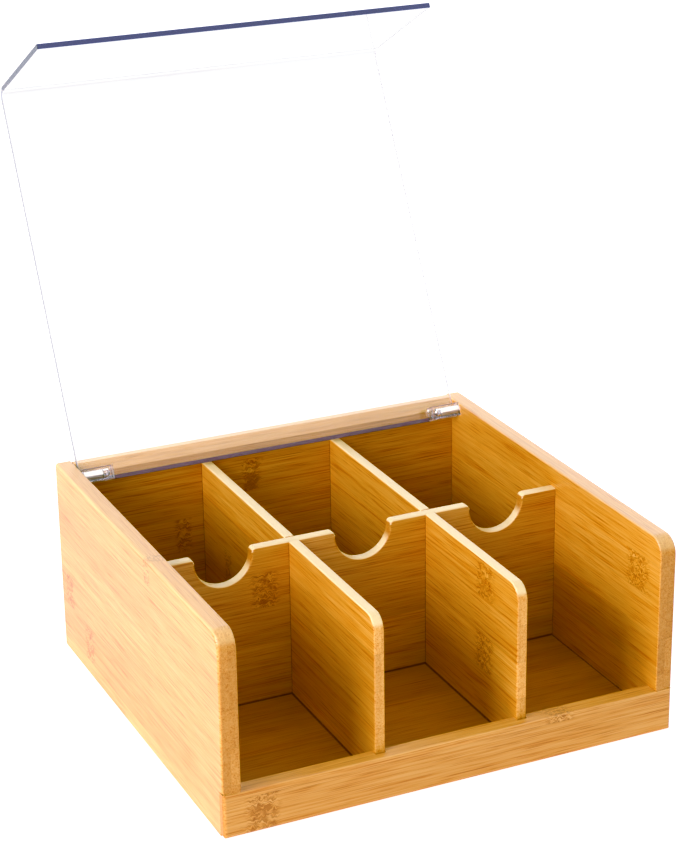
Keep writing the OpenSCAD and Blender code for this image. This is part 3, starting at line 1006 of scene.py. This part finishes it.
table_data = bpy.data.meshes.new("table")
bm = bmesh.new()
bmesh.ops.create_grid(bm, x_segments=1, y_segments=1, size=TABLE_HALF)
bm.to_mesh(table_data)
bm.free()
table = bpy.data.objects.new("table", table_data)
table.location.z = -TABLE_DOWN
bpy.context.scene.collection.objects.link(table)
paper, tree = new_material("white_paper")
seen = add(tree, "ShaderNodeLightPath").outputs["Is Camera Ray"]
surface = add(tree, "ShaderNodeBsdfPrincipled",
              {"Base Color": PAPER, "Roughness": PAPER_ROUGH, "Specular IOR Level": 0.0,
               "Emission Color": (1, 1, 1, 1),
               "Emission Strength": fade(tree, seen, 0, 1, GLOW, GLOW_SEEN, "LINEAR")})
add(tree, "ShaderNodeOutputMaterial", {"Surface": surface.outputs[0]})
table_data.materials.append(paper)
print("table", 2 * TABLE_HALF, "m wide")

# %% [markdown]
# Two soft lights stand on the left, one above the box and one near the table. They reach the
# outside of the left panel and the divider faces that look left.

# %% The softboxes
AIM_AT = Vector((0, 0.12, 0.08))  # about the middle of the box


def softbox(name, place, size, power):
    light = bpy.data.lights.new(name, "AREA")
    light.shape, light.size, light.energy = "SQUARE", size, power
    lamp = bpy.data.objects.new(name, light)
    lamp.location = place
    lamp.rotation_euler = (AIM_AT - lamp.location).to_track_quat("-Z", "Y").to_euler()
    bpy.context.scene.collection.objects.link(lamp)


softbox("light_left", (-1.7, -0.3, 1.04), size=0.8, power=23)
softbox("light_low", (-1.8, 0.1, 0.25), size=0.5, power=7)
print("two softboxes on the left")

# %% [markdown]
# The rest is the tent's cloth, which is a world of one colour. A world that treats all light alike
# would wash out the inside of the box, so it has three strengths: faint for light that has been
# scattered off a surface, plain white for what is seen directly or in the clear sheet, and strong
# for what varnish and steel mirror, as if the cloth overhead were lit from outside.

# %% The tent
TENT_LIGHT, TENT_SEEN, TENT_MIRRORED = 0.58, 1.06, 2.3
CLOTH, CLOTH_MIRRORED = (1, 1, 1, 1), (1, 1, 0.88, 1)
AT_LEAST_ONCE = 0.5  # a ray's counts are whole numbers

world = bpy.data.worlds.new("tent")
world.use_nodes = True
tree = world.node_tree
rays = add(tree, "ShaderNodeLightPath").outputs
scattered = calc(tree, "GREATER_THAN", rays["Diffuse Depth"], AT_LEAST_ONCE)
in_plastic = calc(tree, "MULTIPLY", rays["Is Reflection Ray"], rays["Is Singular Ray"])
mirrored = calc(tree, "GREATER_THAN", rays["Glossy Depth"], AT_LEAST_ONCE)
for other in (scattered, in_plastic):
    mirrored = calc(tree, "MULTIPLY", mirrored, calc(tree, "SUBTRACT", 1.0, other))
bright = fade(tree, mirrored, 0, 1, TENT_SEEN, TENT_MIRRORED, "LINEAR")
soft = calc(tree, "MULTIPLY", scattered, TENT_LIGHT - TENT_SEEN)
warm = add(tree, "ShaderNodeMix", {0: mirrored, 6: CLOTH, 7: CLOTH_MIRRORED},
           data_type="RGBA").outputs[2]
tent = tree.nodes["Background"].inputs
tree.links.new(warm, tent["Color"])
tree.links.new(calc(tree, "ADD", bright, soft), tent["Strength"])
bpy.context.scene.world = world
print("tent strengths", TENT_LIGHT, TENT_SEEN, TENT_MIRRORED)

# %% [markdown]
# Shop pictures have more contrast than the eye sees. Three curves, one to a colour, deepen the
# shadows and pull most of the blue out of them, which turns shaded bamboo amber.

# %% The picture's curves
RED_CURVE = ((0.12, 0.085), (0.25, 0.205), (0.45, 0.425), (0.70, 0.70))
GREEN_CURVE = ((0.05, 0.040), (0.09, 0.076), (0.16, 0.148), (0.34, 0.335), (0.75, 0.74))
BLUE_CURVE = ((0.02, 0.001), (0.05, 0.010), (0.12, 0.088), (0.38, 0.44), (0.62, 0.69))

film = bpy.context.scene.view_settings
film.view_transform = "Standard"
film.use_curve_mapping = True
for curve, points in zip(film.curve_mapping.curves, (RED_CURVE, GREEN_CURVE, BLUE_CURVE)):
    for level, shown in points:
        curve.points.new(level, shown)
    print("a curve through", len(curve.points), "points")
film.curve_mapping.update()
